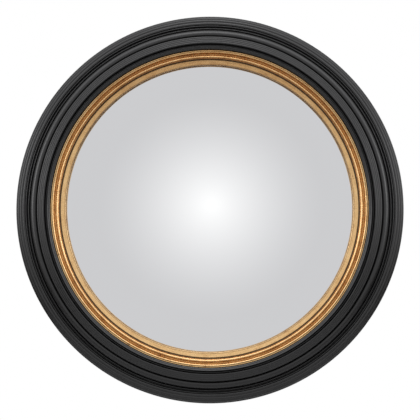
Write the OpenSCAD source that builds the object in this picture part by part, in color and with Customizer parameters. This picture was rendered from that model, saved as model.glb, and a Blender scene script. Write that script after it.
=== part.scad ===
// Round convex wall mirror in a stepped, turned frame with a gilded inner slip.
// Everything is turned about the mirror's axis. Sub-parts are drawn lying on their back,
// with the axis along +Z and heights measured from the frame's back face towards the
// viewer, and in_place() stands them up: the mirror faces -Y and hangs on a wall at +Y.
// The origin is on the axis of the keyhole hanger's entry hole, in the plane of the wall.

/* [Glass] */
// Diameter of the convex mirror glass
glass_d = 400; // [360:1:440]
// Thickness of the glass
glass_t = 3; // [2.5:0.5:4]
// Radius of curvature of the front of the glass
glass_curve_r = 900; // [800:10:1200]
// Height of the front edge of the glass above the frame's back face
glass_edge_h = 26; // [25.6:0.1:26.4]
// How far the slip covers the edge of the glass
glass_cover = 2.4; // [2.2:0.1:4]

/* [Frame] */
// Width of the gilded slip, seen from the front
slip_w = 21.2; // [21.2:0.1:23]
// Width of the black mouldings, seen from the front
frame_w = 48.7; // [48.7:0.1:52]
// Height of the joint between the back ring and the front ring
joint_h = 14; // [13:0.5:14]
// Height of the shoulder that traps the slip's flange
shoulder_h = 27; // [26:0.5:28]
// Number of screws that join the two rings
ring_screw_count = 8; // [8, 12, 16]

/* [Back] */
// Thickness of the backboard
board_t = 4; // [3:0.5:4]
// Length of a turn button's arm, from its pivot to its tip
button_arm = 16; // [14:0.5:18]
// Width of a turn button's arm
button_w = 6.4; // [5:0.1:7]
// Thickness of a turn button
button_t = 1.2; // [1:0.1:1.4]
// Radius of the screw that a turn button turns on
pivot_r = 1.75; // [1.5:0.05:2]

/* [Hanging] */
// Radius of the keyhole's entry hole
keyhole_r = 5; // [4.5:0.1:5.5]
// Width of the keyhole's slot
keyhole_slot_w = 5; // [4.5:0.1:5]
// Travel from the entry hole to the top of the slot
keyhole_travel = 12; // [10:0.5:12]
// Distance from the mirror's axis up to the entry hole
hanger_r = 232; // [230:1:234]
// Thickness of the wall pads, which hold the frame off the wall
pad_t = 6; // [5.6:0.1:8]

/* [Hidden] */
button_count = 6;

// Facets of a full turn, and of a small round, in the preview mesh
turn_fn = 180;
bead_fn = 32;

glass_r = glass_d / 2;
sight_r = glass_r - glass_cover;
slip_r = sight_r + slip_w;
outer_r = slip_r + frame_w;
// Centre of the glass's two spherical faces, on the axis
glass_centre_h = glass_edge_h - sqrt(pow(glass_curve_r, 2) - pow(glass_r, 2));
back_curve_r = glass_curve_r - glass_t;

// Clearances: a glue line, a loose piece, and a screw in its hole
glue_gap = 0.2;
loose_gap = 0.5;
screw_gap = 0.05;
// The small gap that keeps a turn button free of what it slides over
slide_gap = 0.1;

// Inside of the frame
shelf_h = glass_edge_h + 1.8;
well_r = glass_r + 4;
rebate_r = well_r + 4.5;
flange_r = well_r + 22;
pack_r = well_r - 0.6;
pack_w = 19;
pack_h = 20;

// Hardware
button_r = rebate_r + 8.5;
button_angles = [for (i = [0:button_count - 1]) i * 360 / button_count];
button_screw_len = 12;
ring_screw_r = flange_r + 6;
ring_screw_len = 28;
plate_size = [56, 28];
plate_t = 1.6;
// How far the plate's bridge stands off the frame, and half its width
bridge_h = 3.6;
bridge_x = 13;
plate_screw_x = 22;
// Middle of the plate, above the entry hole
plate_rise = 5.5;
pad_r = outer_r - 17.5;
pad_d = 20;

// ---------- placing ----------

module in_place() {
    translate([0, -pad_t, -hanger_r]) rotate([90, 0, 0]) children();
}

module turned() {
    in_place() rotate_extrude($fn = turn_fn) children();
}

// Repeats children round the axis, at a radius and at each angle
module around(radius, angles) {
    for (a = angles) rotate([0, 0, a]) translate([radius, 0, 0]) children();
}

module bead(place, r) {
    translate(place) circle(r = r, $fn = bead_fn);
}

// Reeds side by side: beads in a row from one centre to another
module reeds(from, to, count, r) {
    for (i = [0:count - 1])
        bead(from + (to - from) * i / (count - 1), r);
}

// Countersunk screw, head up at the origin and pointing along +Z
module countersunk_screw(r, head_r, len) {
    cylinder(h = head_r - r, r1 = head_r, r2 = r, $fn = bead_fn);
    cylinder(h = len - 3, r = r, $fn = bead_fn);
    translate([0, 0, len - 3]) cylinder(h = 3, r1 = r, r2 = 0.3, $fn = bead_fn);
}

module cross_slot(width, depth) {
    for (a = [0, 90]) rotate([0, 0, a])
        translate([-width / 2, -0.5, -0.01]) cube([width, 1, depth]);
}

// ---------- frame ----------

// Back ring: a quarter round cut into four reeds, then a small bead before the joint
module back_ring_profile() {
    round_r = 12.9;
    round_h = 6.7;
    reed_r = 3;
    reed_angle = 22.5;
    reach = round_r - reed_r;
    first_reed = 8;
    last_reed = first_reed + 3 * reed_angle;
    // centre of the quarter round, so that the last reed makes the full diameter
    round_x = outer_r - reed_r - reach * sin(last_reed);
    side_x = outer_r - 0.7;
    bead_r = 1.05;
    bead_x = outer_r - 14.2;
    bead_h = joint_h + 4;
    difference() {
        // body, up to the bead and into the quarter round
        polygon([[well_r, 0], [side_x - 1.5, 0], [side_x, 1.5], [side_x, round_h + 1.3],
                 [round_x + 8, round_h + 1.3], [round_x + 1, 14], [round_x, 12.5],
                 [bead_x + bead_r, bead_h], [bead_x - bead_r, bead_h],
                 [outer_r - 16, joint_h], [well_r, joint_h]]);
        translate([well_r - 1, -1]) square([rebate_r - well_r + 1, board_t + 1]);
    }
    intersection() {
        union() {
            bead([round_x, round_h], round_r - 1.5);
            for (i = [0:3])
                bead([round_x, round_h] + reach * [sin(first_reed + i * reed_angle),
                                                   cos(first_reed + i * reed_angle)], reed_r);
        }
        translate([round_x, round_h - 1]) square(round_r + 2);
    }
    bead([bead_x, bead_h], bead_r);
}

module back_ring() {
    color("#1b1b1c") in_place() difference() {
        rotate_extrude($fn = turn_fn) back_ring_profile();
        around(button_r, button_angles) translate([0, 0, -1])
            cylinder(h = button_screw_len + 1, r = pivot_r + screw_gap, $fn = bead_fn);
        around(ring_screw_r, ring_screw_angles()) {
            translate([0, 0, -1]) cylinder(h = joint_h + 2, r = 2 + screw_gap, $fn = bead_fn);
            translate([0, 0, -0.01]) cylinder(h = 2.2, r1 = 4.1, r2 = 2, $fn = bead_fn);
        }
        hanger_screw_places() cylinder(h = 12, r = 1.5 + screw_gap, $fn = bead_fn);
    }
}

function ring_screw_angles() = [for (i = [0:ring_screw_count - 1]) (i + 0.5) * 360 / ring_screw_count];

// Front ring: fine bead, ovolo, quirk, reeded band, groove and a two-reed lip
module front_ring_profile() {
    bead_r = 0.95;
    bead_x = slip_r + 30.75;
    bead_h = joint_h + 3.6;
    // the ovolo falls away outwards and has a small nose inwards
    ovolo_r = 6.6;
    ovolo = [slip_r + 21.9, 22.4];
    nose_r = 2.8;
    nose = ovolo + [0, ovolo_r - nose_r];
    reed_r = 1.9;
    reed_in = [slip_r + 9.55, 36.4];
    reed_out = [slip_r + 16.6, 32.2];
    groove_h = 32.2;
    // the lip leans in: its inner reed is broader and lower
    lip_x = slip_r + 4.3;
    lip_reed = [slip_r + 3.92, 39.6];
    inner_reed = [slip_r + 2.16, 37.9];
    difference() {
        // body, up to the middle of each moulding
        polygon([[slip_r + glue_gap, joint_h], [slip_r + 32.45, joint_h],
                 [bead_x + bead_r, bead_h], [bead_x - bead_r, bead_h],
                 [slip_r + 29.1, joint_h + 1], ovolo + [ovolo_r, 0], nose, nose - [nose_r, 0],
                 [nose[0] - nose_r, 24.5], [slip_r + 18.5, 27], reed_out + [reed_r, 0],
                 reed_out, reed_in, reed_in - [1.35, 0], [slip_r + 7.2, groove_h + 1.8],
                 [slip_r + 6.7, groove_h], [slip_r + 5.9, groove_h],
                 [lip_x, groove_h + 1.8],
                 [lip_x, 38], [slip_r + glue_gap, 38]]);
        // rebate for the slip's flange
        translate([slip_r - 1, joint_h - 1])
            square([flange_r - slip_r + 1 + glue_gap, shoulder_h - joint_h + 1]);
    }
    bead([bead_x, bead_h], bead_r);
    intersection() {
        bead(ovolo, ovolo_r);
        translate(ovolo) square(ovolo_r + 1);
    }
    bead(nose, nose_r);
    reeds(reed_in, reed_out, 4, reed_r);
    intersection() {
        union() {
            bead(lip_reed, 1.6);
            bead(inner_reed, 2.4);
        }
        translate([slip_r + glue_gap, 36]) square([lip_x - slip_r - glue_gap, 8]);
    }
}

module front_ring() {
    color("#1b1b1c") in_place() difference() {
        rotate_extrude($fn = turn_fn) front_ring_profile();
        around(ring_screw_r, ring_screw_angles())
            cylinder(h = ring_screw_len + 0.5, r = 2 + screw_gap, $fn = bead_fn);
    }
}

// Gilded slip: rounded sight edge, flat, quirk, fillet, bead, cove, bead and fillet
module gilt_slip_profile() {
    edge_r = 1.2;
    quirk_r = sight_r + 7.7;
    quirk_h = 29.4;
    bead_r = 1.35;
    inner_bead = [sight_r + 11.45, 34.8];
    outer_bead = [slip_r - 3.25, 35.2];
    cove = [sight_r + 14.7, 33.2];
    cove_r = 2.1;
    fillet_h = 34.6;
    difference() {
        union() {
            polygon([[sight_r + edge_r, shelf_h], [well_r, shelf_h], [well_r, joint_h],
                     [flange_r, joint_h], [flange_r, shoulder_h], [slip_r, shoulder_h],
                     [slip_r, fillet_h - 0.6], [slip_r - 0.7, fillet_h],
                     [outer_bead[0], fillet_h], outer_bead, outer_bead - [bead_r, 0],
                     cove + [1.95, 0], cove - [1.95, 0], inner_bead + [bead_r, 0],
                     inner_bead - [bead_r, 0], [sight_r + 10.1, 33],
                     [sight_r + 9.8, 32.4], [sight_r + 9.5, 33.4], [sight_r + 8.6, 33.5],
                     [quirk_r + 0.4, quirk_h], [quirk_r - 0.4, quirk_h],
                     [sight_r + 7, 32.2], [sight_r + 1.9, 30.9]]);
            translate([sight_r, shelf_h]) square([4, 2]);
            bead([sight_r + edge_r, shelf_h + 2], edge_r);
            bead(inner_bead, bead_r);
            bead(outer_bead, bead_r);
        }
        bead(cove, cove_r);
    }
    // a fine reed along the bottom of the cove
    bead(cove - [0, cove_r - 0.3], 0.75);
}

module gilt_slip() {
    color("#c39a5b") turned() gilt_slip_profile();
}

// ---------- glass and what holds it ----------

module dome(r) {
    translate([0, glass_centre_h]) circle(r = r, $fn = 360);
}

module mirror_glass() {
    color("#cfd1d4") in_place() rotate_extrude($fn = turn_fn) intersection() {
        difference() {
            dome(glass_curve_r);
            dome(back_curve_r);
        }
        square([glass_r, glass_edge_h + 60]);
    }
}

// Height of a dome of radius r at a distance x from the axis
function dome_h(r, x) = glass_centre_h + sqrt(r * r - x * x);

// A ring's outline from a flat level up or down to the slope of a dome
module dome_ring(r, from, to, level) {
    polygon([[from, level], [to, level], [to, dome_h(r, to)], [from, dome_h(r, from)]]);
}

module glazing_felt() {
    color("#3a3a3c") turned()
        dome_ring(glass_curve_r + slide_gap, sight_r + 0.4, glass_r - 0.2, shelf_h);
}

// Rubber blocks that centre the glass in its well
module setting_blocks() {
    color("#2a2a2a") in_place() for (a = [45:90:315]) rotate([0, 0, a - 3])
        rotate_extrude(angle = 6, $fn = turn_fn)
            translate([glass_r + 0.1, pack_h]) square([well_r - glass_r - 0.3, 6.5]);
}

module foam_ring() {
    color("#55585c") turned()
        dome_ring(back_curve_r - slide_gap, glass_r - 12, glass_r - 1, pack_h);
}

module packing_ring() {
    color("#b79a70") turned()
        translate([pack_r - pack_w, board_t]) square([pack_w, pack_h - board_t]);
}

module backboard() {
    color("#8a6a48") in_place() cylinder(h = board_t, r = rebate_r - loose_gap, $fn = turn_fn);
}

// ---------- turn buttons ----------

// One button lies along -X, its arm towards the mirror's axis
module turn_button_shape() {
    straight = button_arm - button_w / 2;
    difference() {
        linear_extrude(button_t) union() {
            circle(d = button_w + 3.6, $fn = 64);
            translate([-straight, -button_w / 2]) square([straight, button_w]);
            translate([-straight, 0]) circle(d = button_w, $fn = 64);
        }
        translate([0, 0, -1]) cylinder(h = button_t + 2, r = pivot_r + screw_gap, $fn = bead_fn);
    }
}

module turn_button(i) {
    color("#b08d4f") in_place() around(button_r, [button_angles[i - 1]])
        translate([0, 0, -slide_gap - button_t]) turn_button_shape();
}

module turn_button_screws() {
    head_r = 3.6;
    head_t = 1.8;
    under = 2 * slide_gap + button_t;
    color("#b08d4f") in_place() around(button_r, button_angles) difference() {
        union() {
            translate([0, 0, -under - head_t]) cylinder(h = head_t, r1 = head_r - 1, r2 = head_r, $fn = 48);
            translate([0, 0, -under]) cylinder(h = under + button_screw_len - 3, r = pivot_r, $fn = bead_fn);
            translate([0, 0, button_screw_len - 3]) cylinder(h = 2.8, r1 = pivot_r, r2 = 0.3, $fn = bead_fn);
        }
        translate([0, 0, -under - head_t]) cross_slot(3.6, 1);
    }
}

// ---------- keyhole hanger ----------

module hanger_screw_places() {
    for (s = [-1, 1]) translate([s * plate_screw_x, hanger_r + plate_rise, 0]) children();
}

// Side view of the plate: two feet on the frame and a raised bridge between them
module hanger_section() {
    end_x = plate_size[0] / 2;
    foot_x = bridge_x + bridge_h;
    bend = 0.7;
    polygon([[-end_x, 0], [-foot_x, 0], [-bridge_x, -bridge_h], [bridge_x, -bridge_h],
             [foot_x, 0], [end_x, 0], [end_x, -plate_t], [foot_x + bend, -plate_t],
             [bridge_x + bend, -bridge_h - plate_t], [-bridge_x - bend, -bridge_h - plate_t],
             [-foot_x - bend, -plate_t], [-end_x, -plate_t]]);
}

// The plate's outline: a bar with round ends
module hanger_outline() {
    half = (plate_size[0] - plate_size[1]) / 2;
    square([2 * half, plate_size[1]], center = true);
    for (s = [-1, 1]) translate([s * half, 0]) circle(d = plate_size[1], $fn = 64);
}

module hanger_plate() {
    deep = 10;
    color("#a9acb0") in_place() difference() {
        translate([0, hanger_r, 0]) difference() {
            translate([0, plate_rise, 0]) intersection() {
                translate([0, plate_size[1] / 2, 0]) rotate([90, 0, 0])
                    linear_extrude(plate_size[1]) hanger_section();
                translate([0, 0, -deep]) linear_extrude(deep + 1) hanger_outline();
            }
            translate([0, 0, -deep]) {
                cylinder(h = deep, r = keyhole_r, $fn = 64);
                translate([-keyhole_slot_w / 2, 0, 0]) cube([keyhole_slot_w, keyhole_travel, deep]);
                translate([0, keyhole_travel, 0]) cylinder(h = deep, d = keyhole_slot_w, $fn = 48);
            }
        }
        hanger_screw_places() {
            translate([0, 0, -deep]) cylinder(h = deep + 1, r = 1.5 + screw_gap, $fn = bead_fn);
            translate([0, 0, -plate_t - 0.01]) cylinder(h = 1.5, r1 = 3.05, r2 = 1.55, $fn = bead_fn);
        }
    }
}

module hanger_screws() {
    color("#b9bbbe") in_place() hanger_screw_places() translate([0, 0, -plate_t]) difference() {
        countersunk_screw(1.5, 2.95, 12.5);
        cross_slot(2.8, 0.8);
    }
}

// ---------- fasteners and pads ----------

module ring_screws() {
    color("#7c7f83") in_place() around(ring_screw_r, ring_screw_angles()) difference() {
        countersunk_screw(2, 3.95, ring_screw_len);
        cross_slot(4, 1.2);
    }
}

module wall_pads() {
    color("#6b6862") in_place() around(pad_r, [45:90:315])
        translate([0, 0, -pad_t]) cylinder(h = pad_t, d = pad_d, $fn = 64);
}

back_ring();
front_ring();
gilt_slip();
mirror_glass();
glazing_felt();
setting_blocks();
foam_ring();
packing_ring();
backboard();
turn_button(1);  // turn_button_1
turn_button(2);  // turn_button_2
turn_button(3);  // turn_button_3
turn_button(4);  // turn_button_4
turn_button(5);  // turn_button_5
turn_button(6);  // turn_button_6
turn_button_screws();
hanger_plate();
hanger_screws();
ring_screws();
wall_pads();
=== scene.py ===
import bmesh
import bpy
from math import cos
from math import dist
from math import hypot
from math import pi
from math import radians
from math import sin
from math import sqrt
from mathutils import Matrix
from mathutils import Vector


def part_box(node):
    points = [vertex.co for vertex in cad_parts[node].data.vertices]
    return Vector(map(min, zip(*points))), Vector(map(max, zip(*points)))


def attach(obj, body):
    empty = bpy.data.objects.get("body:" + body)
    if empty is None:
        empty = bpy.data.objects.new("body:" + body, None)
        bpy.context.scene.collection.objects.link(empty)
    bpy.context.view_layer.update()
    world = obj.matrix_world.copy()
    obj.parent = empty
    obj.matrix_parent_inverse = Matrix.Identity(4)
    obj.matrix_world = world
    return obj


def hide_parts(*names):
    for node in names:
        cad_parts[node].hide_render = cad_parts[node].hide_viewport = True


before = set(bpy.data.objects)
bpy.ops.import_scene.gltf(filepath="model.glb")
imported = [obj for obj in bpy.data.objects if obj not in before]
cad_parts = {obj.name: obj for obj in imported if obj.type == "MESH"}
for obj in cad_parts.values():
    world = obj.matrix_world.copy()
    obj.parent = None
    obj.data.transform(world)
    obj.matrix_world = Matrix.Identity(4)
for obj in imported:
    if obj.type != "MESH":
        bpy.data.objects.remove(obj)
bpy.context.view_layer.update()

# ---------- sizes ----------
# A section is drawn in millimetres: distance from the mirror's axis, then height above the
# frame's back face. The mirror faces -Y, and everything is placed in metres.
MM = 0.001
# Steps in a full turn
TURN_STEPS = 256
# Points nearer than this, in metres, are one point
MERGE = 1e-6
# Edges that bend more than this, in degrees, stay sharp in the shading
SHARP_ANGLE = 33

ring_low, ring_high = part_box("back_ring")
front_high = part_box("front_ring")[1]
slip_low, slip_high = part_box("gilt_slip")
glass_low, glass_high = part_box("mirror_glass")
pack_low, pack_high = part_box("packing_ring")
board_low, board_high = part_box("backboard")
screw_low, screw_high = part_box("hanger_screws")

axis_x = (ring_low.x + ring_high.x) / 2
axis_z = (ring_low.z + ring_high.z) / 2
back_y = ring_high.y


def height(y):
    """Height of a depth y above the frame's back face, in millimetres."""
    return (back_y - y) / MM


def half_width(low, high):
    """Half of a box's width, in millimetres."""
    return (high.x - low.x) / 2 / MM


flange_w = 7.2
glass_cover = 2.4
well_gap = 4
rebate_w = 4.5
pack_w = 19
# clear gaps between the slip and the front ring, and between the glass and its soft rings
slip_gap = 0.2
dome_gap = 0.1
outer_r = half_width(ring_low, ring_high)
flange_r = half_width(slip_low, slip_high)
glass_r = half_width(glass_low, glass_high)
pack_r = half_width(pack_low, pack_high)
board_r = half_width(board_low, board_high)
slip_r = flange_r - flange_w
sight_r = glass_r - glass_cover
well_r = glass_r + well_gap
rebate_r = well_r + rebate_w
button_r = rebate_r + 8.5
ring_screw_r = flange_r + 6
# the deepest lines of the gilded slip
quirk_r = sight_r + 7.7
cove_r = sight_r + 14.7
# heights of the joint between the rings, the backboard, the packing, the shelf over the
# glass, the shoulder over the slip's flange, and the glass
joint_h = height(front_high.y)
board_t = height(board_low.y)
pack_h = height(pack_low.y)
shelf_h = 27.8
shoulder_h = 27
glass_t = 3
glass_edge_h = 26
glass_apex_h = height(glass_low.y)
glass_rise = glass_apex_h - glass_edge_h
glass_curve_r = (glass_r * glass_r + glass_rise * glass_rise) / (2 * glass_rise)
glass_centre_h = glass_apex_h - glass_curve_r


def place(r, h):
    """A section point, out along +X from the axis."""
    return Vector((axis_x + r * MM, back_y - h * MM, axis_z))


def around(r, degrees, h):
    """A point at a radius and an angle round the axis."""
    turn = radians(degrees)
    return Vector((axis_x + r * MM * cos(turn), back_y - h * MM, axis_z + r * MM * sin(turn)))


# ---------- making pieces ----------

def arc(centre, radius, start, end, steps=10):
    """Points of an arc in a section. Angles run from the viewer's side outwards."""
    points = []
    for i in range(steps + 1):
        angle = radians(start + (end - start) * i / steps)
        points.append((centre[0] + radius * sin(angle), centre[1] + radius * cos(angle)))
    return points


def finish_mesh(bm, name, materials):
    """Makes the object, shaded smooth apart from its sharp edges."""
    bmesh.ops.remove_doubles(bm, verts=bm.verts[:], dist=MERGE)
    bmesh.ops.recalc_face_normals(bm, faces=bm.faces[:])
    for face in bm.faces:
        face.smooth = True
    mesh = bpy.data.meshes.new(name)
    bm.to_mesh(mesh)
    bm.free()
    mesh.set_sharp_from_angle(angle=radians(SHARP_ANGLE))
    for material in materials:
        mesh.materials.append(material)
    piece = bpy.data.objects.new(name, mesh)
    bpy.context.scene.collection.objects.link(piece)
    flats = piece.modifiers.new("flats keep their normals", "WEIGHTED_NORMAL")
    flats.keep_sharp = True
    flats.weight = 80
    return piece


def soften_section(bm, size):
    """Rounds the corners of the section's one face, but not those on the axis. The steps of
    an arc bend too little to count as corners."""
    corners = []
    for vert in bm.verts:
        if vert.co.x - axis_x < MERGE:
            continue
        one = (vert.link_edges[0].other_vert(vert).co - vert.co).normalized()
        two = (vert.link_edges[1].other_vert(vert).co - vert.co).normalized()
        if one.angle(two) < radians(155):
            corners.append(vert)
    bmesh.ops.bevel(bm, geom=corners, offset=size * MM, offset_type="OFFSET", segments=3,
                    profile=0.5, affect="VERTICES", clamp_overlap=True, material=-1)


def turned(name, outline, materials, soften=0.15, paint=None):
    """A piece turned about the axis from a section outline, its corners softened by a radius
    in millimetres. The paint function gives each face its material's number."""
    bm = bmesh.new()
    verts = []
    # a point that falls on the one before it is left out
    for i, point in enumerate(outline):
        if dist(point, outline[i - 1]) > 0.01:
            verts.append(bm.verts.new(place(*point)))
    bm.faces.new(verts)
    soften_section(bm, soften)
    bmesh.ops.delete(bm, geom=bm.faces[:], context="FACES_ONLY")
    on_axis = []
    for edge in bm.edges:
        if max(edge.verts[0].co.x, edge.verts[1].co.x) - axis_x < MERGE:
            on_axis.append(edge)
    bmesh.ops.delete(bm, geom=on_axis, context="EDGES")
    bmesh.ops.spin(bm, geom=bm.verts[:] + bm.edges[:], cent=(axis_x, 0, axis_z),
                   axis=(0, 1, 0), angle=2 * pi, steps=TURN_STEPS, use_merge=True)
    bmesh.ops.remove_doubles(bm, verts=bm.verts[:], dist=MERGE)
    bmesh.ops.recalc_face_normals(bm, faces=bm.faces[:])
    if paint:
        for face in bm.faces:
            face.material_index = paint(face)
    return finish_mesh(bm, name, materials)


def refined(node, name, material, soften=0.2, body="frame"):
    """A copy of a CAD node with its arrises rounded, in place of the node."""
    bm = bmesh.new()
    bm.from_mesh(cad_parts[node].data)
    bmesh.ops.remove_doubles(bm, verts=bm.verts[:], dist=2 * MERGE)
    bmesh.ops.dissolve_degenerate(bm, edges=bm.edges[:], dist=MERGE)
    bmesh.ops.dissolve_limit(bm, angle_limit=radians(1), verts=bm.verts[:], edges=bm.edges[:])
    sharp = []
    for edge in bm.edges:
        if len(edge.link_faces) == 2 and edge.calc_face_angle(0) > radians(28):
            sharp.append(edge)
    bmesh.ops.bevel(bm, geom=sharp, offset=soften * MM, offset_type="OFFSET", segments=2,
                    profile=0.5, affect="EDGES", clamp_overlap=True, material=-1)
    piece = finish_mesh(bm, name, [material])
    settle(piece, body, node)
    return piece


def settle(piece, body, node):
    """The piece rides on a body and stands for a CAD node."""
    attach(piece, body)
    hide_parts(node)


def cut_holes(piece, holes):
    """Takes tapered holes out of a piece's back. A hole is the place of its mouth, the radius
    there, the radius at its end, and its depth."""
    bm = bmesh.new()
    for mouth, wide, narrow, depth in holes:
        stand = Matrix.Translation(mouth - Vector((0, (depth / 2 - 0.01) * MM, 0)))
        lie = Matrix.Rotation(radians(90), 4, "X")
        bmesh.ops.create_cone(bm, cap_ends=True, segments=32, radius1=wide * MM,
                              radius2=narrow * MM, depth=depth * MM, matrix=stand @ lie)
    cutter_mesh = bpy.data.meshes.new("hole cutter")
    bm.to_mesh(cutter_mesh)
    bm.free()
    cutter = bpy.data.objects.new("hole cutter", cutter_mesh)
    bpy.context.scene.collection.objects.link(cutter)
    cut = piece.modifiers.new("holes", "BOOLEAN")
    cut.operation = "DIFFERENCE"
    cut.object = cutter
    cut.solver = "EXACT"
    piece.modifiers.move(len(piece.modifiers) - 1, 0)
    weights = piece.modifiers["flats keep their normals"]
    weights.show_viewport = False
    bpy.context.view_layer.update()
    solved = piece.evaluated_get(bpy.context.evaluated_depsgraph_get())
    holed = bpy.data.meshes.new_from_object(solved)
    piece.modifiers.remove(cut)
    weights.show_viewport = True
    piece.data = holed
    bpy.data.objects.remove(cutter)


# ---------- shader building ----------

def add(tree, kind, inputs=None, **settings):
    """Adds a shader node. An input is another node's socket or a plain value."""
    made = tree.nodes.new(kind)
    for name, value in settings.items():
        setattr(made, name, value)
    for key, value in (inputs or {}).items():
        if isinstance(value, bpy.types.NodeSocket):
            tree.links.new(value, made.inputs[key])
        else:
            made.inputs[key].default_value = value
    return made


def sums(tree, operation, *values):
    """A Math node's result."""
    return add(tree, "ShaderNodeMath", dict(enumerate(values)), operation=operation).outputs[0]


def vectors(tree, operation, *values):
    """A Vector Math node."""
    return add(tree, "ShaderNodeVectorMath", dict(enumerate(values)), operation=operation)


def rescale(tree, value, low, high, new_low, new_high, smooth=False):
    """Maps low..high to new_low..new_high, and stops at the ends."""
    kind = "SMOOTHSTEP" if smooth else "LINEAR"
    ranged = add(tree, "ShaderNodeMapRange", {0: value, 1: low, 2: high, 3: new_low, 4: new_high},
                 interpolation_type=kind)
    return ranged.outputs[0]


def blend_colours(tree, amount, one, two, kind="MIX"):
    """Goes from one colour to the other with the amount."""
    mixed = add(tree, "ShaderNodeMix", {0: amount, 6: one, 7: two}, data_type="RGBA",
                blend_type=kind)
    return mixed.outputs[2]


def noise(tree, vector, scale, detail=3, roughness=0.5, distortion=0.0):
    """Soft noise, which varies about 0.5."""
    made = add(tree, "ShaderNodeTexNoise", {"Vector": vector, "Scale": scale, "Detail": detail,
                                            "Roughness": roughness, "Distortion": distortion})
    return made.outputs[0]


def new_group(name, inputs, outputs):
    """A shader node group with named sockets, and its two end nodes."""
    tree = bpy.data.node_groups.new(name, "ShaderNodeTree")
    for socket, kind in inputs:
        tree.interface.new_socket(name=socket, in_out="INPUT", socket_type=kind)
    for socket, kind in outputs:
        tree.interface.new_socket(name=socket, in_out="OUTPUT", socket_type=kind)
    start = tree.nodes.new("NodeGroupInput")
    end = tree.nodes.new("NodeGroupOutput")
    return tree, start.outputs, end.inputs


def use_group(tree, group, inputs):
    """Places a shader node group, and gives back its outputs."""
    return add(tree, "ShaderNodeGroup", inputs, node_tree=group).outputs


def new_material(name):
    """A material with its Principled shader, and the Object coordinates."""
    material = bpy.data.materials.new(name)
    material.use_nodes = True
    tree = material.node_tree
    shader = tree.nodes["Principled BSDF"]
    where = tree.nodes.new("ShaderNodeTexCoord").outputs["Object"]
    return material, tree, shader, where


def bump(tree, shader, relief, distance):
    """Raises the surface by a relief of 0 to 1, times a distance in metres."""
    made = add(tree, "ShaderNodeBump", {"Height": relief, "Distance": distance,
                                        "Strength": 1.0})
    tree.links.new(made.outputs[0], shader.inputs["Normal"])


FLOAT = "NodeSocketFloat"
VECTOR = "NodeSocketVector"
COLOUR = "NodeSocketColor"


def turned_place_group():
    """Where a point is on a turned piece: its radius, its turn, and streaks along the ring."""
    tree, given, out = new_group(
        "turned place",
        [("Place", VECTOR), ("Along", FLOAT), ("Across", FLOAT)],
        [("Radius", FLOAT), ("Turn", FLOAT), ("Streaks", VECTOR)])
    moved = vectors(tree, "SUBTRACT", given["Place"], (axis_x, 0, axis_z)).outputs[0]
    parts = add(tree, "ShaderNodeSeparateXYZ", {0: moved}).outputs
    flat = add(tree, "ShaderNodeCombineXYZ", {0: parts[0], 1: 0.0, 2: parts[2]}).outputs[0]
    radius = vectors(tree, "LENGTH", flat).outputs["Value"]
    heading = vectors(tree, "NORMALIZE", flat).outputs[0]
    ways = add(tree, "ShaderNodeSeparateXYZ", {0: heading}).outputs
    angle = sums(tree, "ARCTAN2", parts[2], parts[0])
    spread = sums(tree, "SUBTRACT", radius, sums(tree, "MULTIPLY", parts[1], 0.8))
    streaks = add(tree, "ShaderNodeCombineXYZ", {
        0: sums(tree, "MULTIPLY", ways[0], given["Along"]),
        1: sums(tree, "MULTIPLY", spread, given["Across"]),
        2: sums(tree, "MULTIPLY", ways[2], given["Along"])}).outputs[0]
    tree.links.new(radius, out["Radius"])
    tree.links.new(sums(tree, "DIVIDE", angle, 2 * pi), out["Turn"])
    tree.links.new(streaks, out["Streaks"])
    return tree


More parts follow.
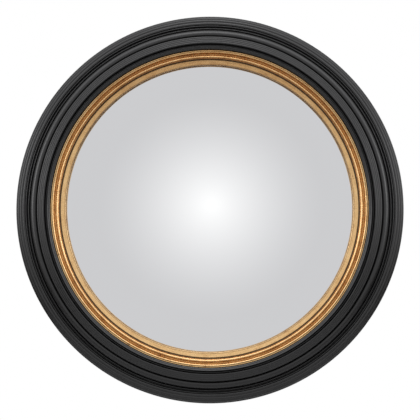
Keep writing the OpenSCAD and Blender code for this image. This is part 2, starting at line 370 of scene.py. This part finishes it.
def leaf_group():
    """Metal leaf laid over red clay, rubbed through in places, with painted shade in its hollows,
    at its edges and towards the top of the ring.
    """
    tree, given, out = new_group(
        "laid leaf",
        [("Place", VECTOR), ("Leaves", FLOAT), ("Rub", FLOAT)],
        [("Colour", COLOUR), ("Roughness", FLOAT), ("Height", FLOAT)])
    where = use_group(tree, turned_place, {"Place": given["Place"], "Along": 14.0,
                                           "Across": 330.0})
    # each leaf has its own tone, and laps over the next in a ragged line
    ragged = rescale(tree, noise(tree, given["Place"], 160, 4), 0.3, 0.7, -0.03, 0.03)
    counted = sums(tree, "MULTIPLY", where["Turn"], given["Leaves"])
    wander = rescale(tree, noise(tree, given["Place"], 9, 1), 0.3, 0.7, -0.35, 0.35)
    run = sums(tree, "ADD", sums(tree, "ADD", counted, wander), ragged)
    leaf = sums(tree, "FLOOR", run)
    tone = add(tree, "ShaderNodeTexWhiteNoise", {"W": leaf}, noise_dimensions="1D").outputs[0]
    edge = sums(tree, "FRACT", run)
    lap = rescale(tree, edge, 0.0, 0.035, 1.0, 0.0, True)
    # broad clouding, streaks from the brush along the ring, and fine crackle of the leaf
    clouds = noise(tree, given["Place"], 55, 4, 0.6)
    streaks = noise(tree, where["Streaks"], 1.0, 4, 0.62)
    fine = noise(tree, given["Place"], 620, 3, 0.6)
    light = sums(tree, "ADD", sums(tree, "MULTIPLY", clouds, 0.55),
                 sums(tree, "MULTIPLY", streaks, 0.45))
    light = sums(tree, "ADD", light, rescale(tree, tone, 0.0, 1.0, -0.03, 0.03))
    deep = (0.64, 0.36, 0.135, 1)
    middle = (0.84, 0.535, 0.235, 1)
    pale = (0.94, 0.66, 0.34, 1)
    lower = blend_colours(tree, rescale(tree, light, 0.30, 0.48, 0.0, 1.0), deep, middle)
    metal = blend_colours(tree, rescale(tree, light, 0.50, 0.74, 0.0, 1.0), lower, pale)
    # rubbed spots where the clay shows through
    spots = sums(tree, "MULTIPLY", rescale(tree, streaks, 0.30, 0.50, 1.0, 0.0, True),
                 rescale(tree, fine, 0.46, 0.66, 0.0, 1.0, True))
    flecks = rescale(tree, noise(tree, given["Place"], 1500, 2), 0.68, 0.76, 0.0, 0.6, True)
    rub = sums(tree, "MULTIPLY", sums(tree, "MAXIMUM", spots, flecks), given["Rub"])
    clay = blend_colours(tree, clouds, (0.33, 0.105, 0.04, 1), (0.22, 0.075, 0.03, 1))
    worn = blend_colours(tree, rub, metal, clay)
    lapped = blend_colours(tree, sums(tree, "MULTIPLY", lap, 0.35), worn, (0.62, 0.38, 0.17, 1))
    # painted shade: dark brown is laid in the quirk, the cove and at both edges, where shade
    # falls: a line's radius, how far its full strength and its feathered edge reach, and that
    # strength
    recess_shade = 0.0
    for line_r, full, feathered, strength in [(quirk_r + 0.3, 0.6, 1.9, 0.93),
                                              (cove_r, 0.6, 2.4, 0.30),
                                              (sight_r + 0.9, 0.5, 1.3, 0.5),
                                              (slip_r, 0.3, 1.2, 0.8)]:
        off_line = sums(tree, "ABSOLUTE", sums(tree, "SUBTRACT", where["Radius"], line_r * MM))
        on_line = rescale(tree, off_line, full * MM, feathered * MM, strength, 0.0, True)
        recess_shade = sums(tree, "MAXIMUM", recess_shade, on_line)
    # the painted shade darkens the leaf's colour along those lines
    recess_shaded = blend_colours(tree, recess_shade, lapped, (0.105, 0.05, 0.017, 1))
    # painted shade: the leaf is darkened towards the top of the ring, standing in for the shade
    # the lip casts there
    way_up = add(tree, "ShaderNodeSeparateXYZ", {0: given["Place"]}).outputs[2]
    top_shade = rescale(tree, way_up, axis_z + 0.06, axis_z + 0.19, 0.0, 1.0, True)
    top_shaded = blend_colours(tree, top_shade, recess_shaded, (0.86, 0.79, 0.72, 1), "MULTIPLY")
    rough = sums(tree, "ADD", rescale(tree, fine, 0.3, 0.7, 0.21, 0.36),
                 sums(tree, "MULTIPLY", rub, 0.22))
    rise = sums(tree, "ADD", sums(tree, "MULTIPLY", clouds, 0.5),
                sums(tree, "MULTIPLY", fine, 0.16))
    rise = sums(tree, "ADD", rise, sums(tree, "MULTIPLY", streaks, 0.45))
    rise = sums(tree, "ADD", rise, sums(tree, "MULTIPLY", lap, 0.08))
    tree.links.new(top_shaded, out["Colour"])
    tree.links.new(rough, out["Roughness"])
    tree.links.new(rise, out["Height"])
    return tree


def lacquer_group():
    """Sprayed satin lacquer over turned board: orange peel, faint tool lines, dust."""
    tree, given, out = new_group(
        "satin lacquer",
        [("Place", VECTOR), ("Dust", FLOAT)],
        [("Colour", COLOUR), ("Roughness", FLOAT), ("Height", FLOAT)])
    where = use_group(tree, turned_place, {"Place": given["Place"], "Along": 10.0,
                                           "Across": 900.0})
    peel = noise(tree, given["Place"], 520, 2, 0.5)
    swell = noise(tree, given["Place"], 60, 3, 0.5)
    lines = noise(tree, where["Streaks"], 1.0, 3, 0.6)
    dust = sums(tree, "MULTIPLY",
                rescale(tree, noise(tree, given["Place"], 2600, 2), 0.68, 0.76, 0.0, 1.0),
                given["Dust"])
    plain = blend_colours(tree, swell, (0.0030, 0.0030, 0.0031, 1), (0.0052, 0.0050, 0.0050, 1))
    dusty = blend_colours(tree, dust, plain, (0.05, 0.046, 0.042, 1))
    rough = sums(tree, "ADD", rescale(tree, lines, 0.3, 0.7, 0.33, 0.43),
                 rescale(tree, swell, 0.3, 0.7, -0.03, 0.03))
    rise = sums(tree, "ADD", sums(tree, "MULTIPLY", peel, 0.6), sums(tree, "MULTIPLY", lines, 0.5))
    tree.links.new(dusty, out["Colour"])
    tree.links.new(sums(tree, "ADD", rough, sums(tree, "MULTIPLY", dust, 0.2)), out["Roughness"])
    tree.links.new(rise, out["Height"])
    return tree


def fibre_group():
    """Pressed fibres: a board's mottled colour and its short raised hairs."""
    tree, given, out = new_group(
        "pressed fibres",
        [("Place", VECTOR), ("Fineness", FLOAT), ("Dark", COLOUR), ("Light", COLOUR)],
        [("Colour", COLOUR), ("Roughness", FLOAT), ("Height", FLOAT)])
    stretched = vectors(tree, "MULTIPLY", given["Place"], (1.0, 2.6, 3.2)).outputs[0]
    leaning = vectors(tree, "MULTIPLY", given["Place"], (3.4, 2.2, 1.0)).outputs[0]
    one = noise(tree, stretched, given["Fineness"], 4, 0.65, 0.6)
    two = noise(tree, leaning, given["Fineness"], 4, 0.65, 0.6)
    hairs = sums(tree, "MAXIMUM", one, two)
    stains = noise(tree, given["Place"], 22, 3, 0.6)
    amount = sums(tree, "ADD", rescale(tree, hairs, 0.42, 0.72, 0.0, 0.75),
                  rescale(tree, stains, 0.3, 0.7, -0.1, 0.25))
    tree.links.new(blend_colours(tree, amount, given["Dark"], given["Light"]), out["Colour"])
    tree.links.new(rescale(tree, hairs, 0.4, 0.7, 0.78, 0.92), out["Roughness"])
    tree.links.new(hairs, out["Height"])
    return tree


def metal_wear_group():
    """Handled metal: tarnish clouds, fine scratches and small pits."""
    tree, given, out = new_group(
        "handled metal",
        [("Place", VECTOR), ("Clean", COLOUR), ("Tarnish", COLOUR), ("Amount", FLOAT)],
        [("Colour", COLOUR), ("Roughness", FLOAT), ("Height", FLOAT)])
    clouds = noise(tree, given["Place"], 150, 5, 0.6)
    pulled = vectors(tree, "MULTIPLY", given["Place"], (60.0, 60.0, 4200.0)).outputs[0]
    scratches = noise(tree, pulled, 1.0, 3, 0.7)
    pits = rescale(tree, noise(tree, given["Place"], 2200, 2), 0.68, 0.78, 0.0, 1.0)
    cover = sums(tree, "MULTIPLY", rescale(tree, clouds, 0.4, 0.66, 0.0, 1.0, True),
                 given["Amount"])
    cover = sums(tree, "MAXIMUM", cover, sums(tree, "MULTIPLY", pits, 0.5))
    rough = sums(tree, "ADD", rescale(tree, scratches, 0.3, 0.7, 0.24, 0.4),
                 sums(tree, "MULTIPLY", cover, 0.25))
    rise = sums(tree, "SUBTRACT", scratches, sums(tree, "MULTIPLY", pits, 0.8))
    tree.links.new(blend_colours(tree, cover, given["Clean"], given["Tarnish"]), out["Colour"])
    tree.links.new(rough, out["Roughness"])
    tree.links.new(rise, out["Height"])
    return tree


turned_place = turned_place_group()
laid_leaf = leaf_group()
satin_lacquer = lacquer_group()
pressed_fibres = fibre_group()
handled_metal = metal_wear_group()


# ---------- materials ----------

def finish_material(name, group, inputs, bump_distance, **plain):
    """A material whose colour, roughness and relief come from one of the groups."""
    material, tree, shader, where = new_material(name)
    made = use_group(tree, group, dict(inputs, Place=where))
    tree.links.new(made["Colour"], shader.inputs["Base Color"])
    tree.links.new(made["Roughness"], shader.inputs["Roughness"])
    bump(tree, shader, made["Height"], bump_distance)
    for key, value in plain.items():
        shader.inputs[key.replace("_", " ")].default_value = value
    return material


lacquer = finish_material("black satin lacquer", satin_lacquer, {"Dust": 0.5}, 0.00005,
                          Coat_Weight=0.25, Coat_Roughness=0.22)
gilding = finish_material("gilding over clay", laid_leaf, {"Leaves": 17.0, "Rub": 0.85}, 0.0003,
                          Metallic=0.93, Coat_Weight=0.5, Coat_Roughness=0.25)
stained_back = finish_material("stained fibreboard", pressed_fibres,
                               {"Fineness": 420.0, "Dark": (0.016, 0.014, 0.012, 1),
                                "Light": (0.062, 0.048, 0.037, 1)}, 0.0001)
fibreboard = finish_material("raw fibreboard", pressed_fibres,
                             {"Fineness": 380.0, "Dark": (0.26, 0.165, 0.09, 1),
                              "Light": (0.50, 0.36, 0.22, 1)}, 0.00012)
grey_paint = finish_material("mirror backing paint", pressed_fibres,
                             {"Fineness": 160.0, "Dark": (0.16, 0.165, 0.17, 1),
                              "Light": (0.22, 0.225, 0.23, 1)}, 0.00002)
brass = finish_material("stamped brass", handled_metal,
                        {"Clean": (0.80, 0.58, 0.27, 1), "Tarnish": (0.38, 0.24, 0.10, 1),
                         "Amount": 0.7}, 0.00002, Metallic=1.0)
zinc = finish_material("zinc-plated steel", handled_metal,
                       {"Clean": (0.62, 0.63, 0.64, 1), "Tarnish": (0.42, 0.42, 0.40, 1),
                        "Amount": 0.8}, 0.00002, Metallic=1.0)
dark_steel = finish_material("dark screw steel", handled_metal,
                             {"Clean": (0.30, 0.30, 0.31, 1), "Tarnish": (0.13, 0.12, 0.11, 1),
                              "Amount": 0.8}, 0.00002, Metallic=1.0)


def silvered_glass():
    """Silvered convex glass, with the faintest unevenness in its reflection."""
    material, tree, shader, where = new_material("silvered glass")
    shader.inputs["Metallic"].default_value = 1.0
    haze = noise(tree, where, 14, 3, 0.5)
    tint = blend_colours(tree, haze, (0.895, 0.900, 0.904, 1), (0.905, 0.908, 0.910, 1))
    tree.links.new(tint, shader.inputs["Base Color"])
    tree.links.new(rescale(tree, haze, 0.3, 0.7, 0.010, 0.018), shader.inputs["Roughness"])
    return material


def ground_edge():
    """The ground edge of the glass: frosted green-grey."""
    material, tree, shader, where = new_material("ground glass edge")
    grit = noise(tree, where, 1800, 3, 0.6)
    tint = blend_colours(tree, grit, (0.20, 0.29, 0.26, 1), (0.36, 0.46, 0.42, 1))
    tree.links.new(tint, shader.inputs["Base Color"])
    tree.links.new(rescale(tree, grit, 0.3, 0.7, 0.45, 0.65), shader.inputs["Roughness"])
    bump(tree, shader, grit, 0.00003)
    return material


def hardboard():
    """The meshed face of hardboard: brown fibres with the print of the press screen."""
    material, tree, shader, where = new_material("hardboard")
    fibres = use_group(tree, pressed_fibres,
                       {"Place": where, "Fineness": 300.0, "Dark": (0.115, 0.062, 0.030, 1),
                        "Light": (0.27, 0.165, 0.088, 1)})
    wires = []
    for direction in ("X", "Z"):
        wave = add(tree, "ShaderNodeTexWave", {"Vector": where, "Scale": 165.0,
                                               "Distortion": 0.4, "Detail": 1.0},
                   bands_direction=direction)
        wires.append(wave.outputs[1])
    screen = sums(tree, "MULTIPLY", wires[0], wires[1])
    shaded = blend_colours(tree, rescale(tree, screen, 0.0, 0.5, 0.42, 0.0), fibres["Colour"],
                           (0.05, 0.027, 0.013, 1))
    tree.links.new(shaded, shader.inputs["Base Color"])
    tree.links.new(fibres["Roughness"], shader.inputs["Roughness"])
    rise = sums(tree, "ADD", sums(tree, "MULTIPLY", screen, 0.8),
                sums(tree, "MULTIPLY", fibres["Height"], 0.5))
    bump(tree, shader, rise, 0.0003)
    return material


def soft_material(name, dark, light, grain, rise, rough, sheen):
    """Felt, rubber or foam: a fine grain at one scale over soft clouds."""
    material, tree, shader, where = new_material(name)
    fine = noise(tree, where, grain, 4, 0.7)
    clouds = noise(tree, where, grain / 12, 3, 0.5)
    amount = sums(tree, "ADD", rescale(tree, fine, 0.3, 0.7, 0.0, 0.7),
                  rescale(tree, clouds, 0.3, 0.7, 0.0, 0.3))
    tree.links.new(blend_colours(tree, amount, dark, light), shader.inputs["Base Color"])
    tree.links.new(rescale(tree, fine, 0.3, 0.7, rough - 0.06, rough + 0.06),
                   shader.inputs["Roughness"])
    shader.inputs["Sheen Weight"].default_value = sheen
    bump(tree, shader, fine, rise)
    return material


mirror_face = silvered_glass()
glass_edge = ground_edge()
board_material = hardboard()
felt = soft_material("pressed felt", (0.030, 0.028, 0.027, 1), (0.085, 0.080, 0.075, 1),
                     1500, 0.0003, 0.92, 0.35)
rubber = soft_material("black rubber", (0.016, 0.016, 0.016, 1), (0.028, 0.027, 0.026, 1),
                       900, 0.00004, 0.62, 0.05)
foam = soft_material("packing foam", (0.075, 0.078, 0.082, 1), (0.19, 0.195, 0.20, 1),
                     1100, 0.0004, 0.88, 0.1)


# ---------- sections ----------

def back_ring_outline():
    """A quarter round of four reeds, a groove and a small bead."""
    reed_angles = [75.5, 53, 30.5, 8]
    reach = 9.9
    reed_r = 3.0
    round_centre = (outer_r - reed_r - reach * sin(radians(reed_angles[0])), 6.7)
    half_arc = 51.3
    side = outer_r - 0.7
    points = [(rebate_r, 0), (side - 1.5, 0), (side, 1.5), (side, 7.2)]
    for i, angle in enumerate(reed_angles):
        turn = radians(angle)
        centre = (round_centre[0] + reach * sin(turn), round_centre[1] + reach * cos(turn))
        start = 130 if i == 0 else angle + half_arc
        end = -27.3 if i == 3 else angle - half_arc
        points += arc(centre, reed_r, start, end, 12)
    points += [(round_centre[0], 19), (round_centre[0], 12.5)]
    points += arc((outer_r - 14.2, joint_h + 4), 1.05, 90, -90, 10)
    points += [(outer_r - 16, joint_h), (well_r, joint_h), (well_r, board_t),
               (rebate_r, board_t)]
    return points


def front_ring_outline():
    """Fine bead, ovolo with a nose, quirk, band of four reeds, groove and leaning lip."""
    base = slip_r
    points = [(flange_r + slip_gap, joint_h), (base + 32.45, joint_h)]
    points += arc((base + 30.75, joint_h + 3.6), 0.95, 90, -90, 10)
    points += [(base + 29.1, joint_h + 1)]
    points += arc((base + 21.9, 22.4), 6.6, 90, 0, 16)
    points += arc((base + 21.9, 26.2), 2.8, 0, -90, 8)[1:]
    points += [(base + 19.1, 24.5), (base + 18.5, 27)]
    reed_r = 1.9
    starts = [90, 76.9, 76.9, 76.9]
    ends = [-15.3, -15.3, -15.3, -90]
    for i in range(4):
        centre = (base + 16.6 - 2.35 * i, 32.2 + 1.4 * i)
        points += arc(centre, reed_r, starts[i], ends[i], 10)
    points += [(base + 7.2, 34), (base + 6.7, 32.2), (base + 5.9, 32.2), (base + 4.3, 34)]
    points += arc((base + 3.92, 39.6), 1.6, 13.7, -64.9, 8)
    points += arc((base + 2.16, 37.9), 2.4, 7.4, -54.7, 10)
    points += [(base + slip_gap, shoulder_h), (flange_r + slip_gap, shoulder_h)]
    return points


def slip_outline():
    """Sight edge, flat, quirk, fillet, bead, reeded cove, bead and outer fillet."""
    base = sight_r
    face_h = 35.2
    cove = (cove_r, 33.2)
    points = [(flange_r, joint_h), (flange_r, shoulder_h), (slip_r, shoulder_h),
              (slip_r, face_h - 1.2), (slip_r - 0.7, face_h - 0.6), (slip_r - 1.9, face_h - 0.6)]
    points += arc((slip_r - 3.25, face_h), 1.35, 90, -80, 10)
    points += arc(cove, 2.1, 68, 159, 9)
    points += arc((cove[0], 31.4), 0.75, 90, -90, 8)
    points += arc(cove, 2.1, 201, 292, 9)
    points += arc((base + 11.45, 34.8), 1.35, 85, -90, 10)
    points += [(base + 10.1, 33), (base + 9.8, 32.4), (base + 9.5, 33.4), (base + 8.6, 33.5),
               (quirk_r + 0.4, 29.4), (quirk_r - 0.4, 29.4), (base + 7, 32.2),
               (base + 1.9, 30.9)]
    points += arc((base + 1.2, 29.8), 1.2, 8, -90, 8)
    points += [(base, shelf_h), (well_r, shelf_h), (well_r, joint_h)]
    return points


def dome_h(curve_r, r):
    """Height of a dome about the glass's centre, at a radius."""
    return glass_centre_h + sqrt(curve_r * curve_r - r * r)


def glass_outline():
    """The dome of the glass: front face, edge and back face."""
    back_r = glass_curve_r - glass_t
    points = []
    steps = 40
    for i in range(steps + 1):
        r = glass_r * i / steps
        points.append((r, dome_h(glass_curve_r, r)))
    for i in range(steps + 1):
        r = glass_r * (steps - i) / steps
        points.append((r, dome_h(back_r, r)))
    return points


def collar_outline(curve_r, inner, outer, level):
    """A collar between a flat level and the slope of a dome."""
    return [(inner, level), (outer, level), (outer, dome_h(curve_r, outer)),
            (inner, dome_h(curve_r, inner))]


# ---------- frame pieces ----------

def back_face_second(face):
    """The second material goes on what only shows from behind."""
    middle = face.calc_center_median()
    behind = face.normal.y > 0.9 and middle.y > back_y - 0.1 * MM
    inside = hypot(middle.x - axis_x, middle.z - axis_z) < (rebate_r + 0.1) * MM
    return 1 if behind or inside else 0


back_ring = turned("frame_back_ring", back_ring_outline(), [lacquer, stained_back],
                   paint=back_face_second)
pivots = []
for angle in range(0, 360, 60):
    pivots.append(around(button_r, angle, 0))
ring_screws = []
for step in range(8):
    ring_screws.append(around(ring_screw_r, 22.5 + 45 * step, 0))
plate_screw_head_r = 2.95
plate_screws = []
for x in (screw_low.x + plate_screw_head_r * MM, screw_high.x - plate_screw_head_r * MM):
    plate_screws.append(Vector((x, back_y, (screw_low.z + screw_high.z) / 2)))
# holes for the pivots, the ring screws with their countersinks, and the plate's screws
pivot_hole_r = 1.85
pivot_hole_depth = 13
ring_hole_r = 2.05
ring_hole_depth = joint_h - 0.5
sink_r = 4.1
sink_depth = 2.2
plate_hole_r = 1.6
plate_hole_depth = 12
holes = []
for mouth in pivots:
    holes.append((mouth, pivot_hole_r, pivot_hole_r, pivot_hole_depth))
for mouth in ring_screws:
    holes.append((mouth, sink_r, ring_hole_r, sink_depth))
    holes.append((mouth, ring_hole_r, ring_hole_r, ring_hole_depth))
for mouth in plate_screws:
    holes.append((mouth, plate_hole_r, plate_hole_r, plate_hole_depth))
cut_holes(back_ring, holes)
settle(back_ring, "frame", "back_ring")

front_ring = turned("frame_front_ring", front_ring_outline(), [lacquer])
settle(front_ring, "frame", "front_ring")

slip = turned("gilded_slip", slip_outline(), [gilding])
settle(slip, "frame", "gilt_slip")


# ---------- glass and packing ----------

def glass_paint(face):
    """Silver in front, backing paint behind, and the ground edge between."""
    if abs(face.normal.y) < 0.7:
        return 2
    return 0 if face.normal.y < 0 else 1


glass = turned("convex_mirror_glass", glass_outline(), [mirror_face, grey_paint, glass_edge],
               soften=0.4, paint=glass_paint)
settle(glass, "frame", "mirror_glass")

felt_outline = collar_outline(glass_curve_r + dome_gap, sight_r + 0.4, glass_r - 0.2, shelf_h)
felt_ring = turned("felt_glazing_ring", felt_outline, [felt], soften=0.3)
settle(felt_ring, "frame", "glazing_felt")

foam_outline = collar_outline(glass_curve_r - glass_t - dome_gap, glass_r - 12, glass_r - 1,
                              pack_h)
foam_ring = turned("packing_foam", foam_outline, [foam], soften=0.6)
settle(foam_ring, "frame", "foam_ring")

packing_outline = [(pack_r - pack_w, board_t), (pack_r, board_t), (pack_r, pack_h),
                   (pack_r - pack_w, pack_h)]
packing = turned("fibreboard_packing_ring", packing_outline, [fibreboard], soften=0.5)
settle(packing, "frame", "packing_ring")

board = turned("hardboard_back", [(0, 0), (board_r, 0), (board_r, board_t), (0, board_t)],
               [board_material], soften=0.4)
settle(board, "frame", "backboard")

blocks = refined("setting_blocks", "rubber_setting_blocks", rubber, 0.4)

# ---------- fittings ----------

for number in range(1, 7):
    button = refined(f"turn_button_{number}", f"brass_turn_button_{number}", brass, 0.22,
                     f"button_{number}")

button_screws = refined("turn_button_screws", "brass_button_screws", brass, 0.14)
plate = refined("hanger_plate", "keyhole_hanger_plate", zinc, 0.3)
hanger_screws = refined("hanger_screws", "hanger_plate_screws", zinc, 0.12)
joint_screws = refined("ring_screws", "ring_joint_screws", dark_steel, 0.14)
pads = refined("wall_pads", "felt_wall_pads", felt, 1.1)


# ---------- studio ----------
# Distances from the mirror, and the floor's height and radius
LIGHT_DISTANCE = 2.6
CAMERA_DISTANCE = 4
FLOOR_Z = -1.75
FLOOR_R = 2.6


def way_to(azimuth, elevation):
    """The direction from the mirror to something in front of it, from two angles in degrees:
    round towards +X, and up."""
    side = radians(azimuth)
    rise = radians(elevation)
    return Vector((sin(side) * cos(rise), -cos(side) * cos(rise), sin(rise)))


def studio_world():
    """White behind the object, and a soft studio that only the object sees."""
    world = bpy.data.worlds.new("soft studio")
    bpy.context.scene.world = world
    world.use_nodes = True
    tree = world.node_tree
    tree.nodes.clear()
    heading = tree.nodes.new("ShaderNodeTexCoord").outputs["Generated"]
    bright_way = way_to(-0.74, 3.74)
    facing = vectors(tree, "DOT_PRODUCT", heading, bright_way).outputs["Value"]
    away = sums(tree, "DEGREES", sums(tree, "ARCCOSINE", sums(tree, "MINIMUM", facing, 0.999999)))
    fade = rescale(tree, away, 1.2, 22.4, 1.0, 0.0)
    glow = sums(tree, "POWER", fade, 1.6)
    front = sums(tree, "ADD", sums(tree, "MULTIPLY", glow, 0.44), 0.671)
    parts = add(tree, "ShaderNodeSeparateXYZ", {0: heading}).outputs
    # away from the front the room is bright above and at the sides, dark below, and
    # darker still behind the mirror
    up = rescale(tree, parts[2], 0.45, 0.82, 1.1, 1.95)
    down = rescale(tree, parts[2], -0.38, 0.06, 0.03, 1.0)
    right = rescale(tree, parts[0], 0.35, 0.8, 1.0, 1.34)
    left = rescale(tree, parts[0], -0.8, -0.35, 1.24, 1.0)
    aside = sums(tree, "MULTIPLY", right, left)
    fall = rescale(tree, away, 66.0, 118.0, 1.0, 0.08, True)
    # a far wall lights the back of the frame
    far_wall = rescale(tree, away, 140.0, 168.0, 0.0, 1.6, True)
    behind = sums(tree, "ADD", fall, far_wall)
    open_room = sums(tree, "MULTIPLY", sums(tree, "MULTIPLY", up, down), aside)
    room = sums(tree, "MULTIPLY", open_room, behind)
    wide_up = rescale(tree, away, 29.0, 42.0, 0.0, 1.0, True)
    wide_down = rescale(tree, away, 28.7, 33.0, 0.0, 1.0, True)
    below = rescale(tree, parts[2], -0.3, 0.0, 1.0, 0.0)
    wide = add(tree, "ShaderNodeMix", {0: below, 2: wide_up, 3: wide_down}).outputs[0]
    level = add(tree, "ShaderNodeMix", {0: wide, 2: front, 3: room}).outputs[0]
    cool = blend_colours(tree, glow, (1.0, 1.0, 1.02, 1), (1, 1, 1, 1))
    low = sums(tree, "MULTIPLY", wide, rescale(tree, parts[2], -0.6, 0.0, 1.0, 0.0))
    tint = blend_colours(tree, low, cool, (1.0, 0.88, 0.76, 1))
    seen = add(tree, "ShaderNodeBackground", {0: (1, 1, 1, 1), 1: 1.0}).outputs[0]
    room_light = add(tree, "ShaderNodeBackground", {0: tint, 1: level}).outputs[0]
    camera_ray = tree.nodes.new("ShaderNodeLightPath").outputs["Is Camera Ray"]
    mixed = add(tree, "ShaderNodeMixShader", {0: camera_ray, 1: room_light, 2: seen}).outputs[0]
    output = tree.nodes.new("ShaderNodeOutputWorld")
    tree.links.new(mixed, output.inputs["Surface"])


def softbox(name, azimuth, elevation, size, power):
    """A square light that faces the mirror's middle."""
    lamp = bpy.data.lights.new(name, "AREA")
    lamp.shape = "SQUARE"
    lamp.size = size
    lamp.energy = power
    light = bpy.data.objects.new(name, lamp)
    way = way_to(azimuth, elevation)
    light.location = Vector((axis_x, 0, axis_z)) + way * LIGHT_DISTANCE
    light.rotation_euler = way.to_track_quat("Z", "Y").to_euler()
    bpy.context.scene.collection.objects.link(light)


studio_world()
softbox("left softbox", -62, 12, 1.1, 12)
softbox("right softbox", 62, 12, 1.1, 10)
softbox("top softbox", 0, 66, 1.2, 8)

floor_mesh = bpy.data.meshes.new("studio_floor")
floor_bm = bmesh.new()
bmesh.ops.create_circle(floor_bm, cap_ends=True, segments=96, radius=FLOOR_R,
                        matrix=Matrix.Translation((0, 0, FLOOR_Z)))
floor_bm.to_mesh(floor_mesh)
floor_bm.free()
floor = bpy.data.objects.new("studio_floor", floor_mesh)
bpy.context.scene.collection.objects.link(floor)
floor_paint, floor_tree, floor_shader, floor_where = new_material("pale floor")
floor_grain = noise(floor_tree, floor_where, 40, 3)
floor_tree.links.new(blend_colours(floor_tree, floor_grain, (0.40, 0.40, 0.40, 1),
                                   (0.44, 0.44, 0.44, 1)), floor_shader.inputs["Base Color"])
floor_shader.inputs["Roughness"].default_value = 0.8
floor_mesh.materials.append(floor_paint)

camera_data = bpy.data.cameras.new("camera")
camera_data.lens = 248.3
camera_data.sensor_width = 36
camera = bpy.data.objects.new("camera", camera_data)
# a little to the right of the mirror and a little below it
aim = place(0.36, 10) + Vector((0, 0, -0.95 * MM))
stand_off = way_to(1.1, -3.2)
camera.location = aim + stand_off * CAMERA_DISTANCE
camera.rotation_euler = stand_off.to_track_quat("Z", "Y").to_euler()
bpy.context.scene.collection.objects.link(camera)
bpy.context.scene.camera = camera
bpy.context.scene.view_settings.view_transform = "Standard"
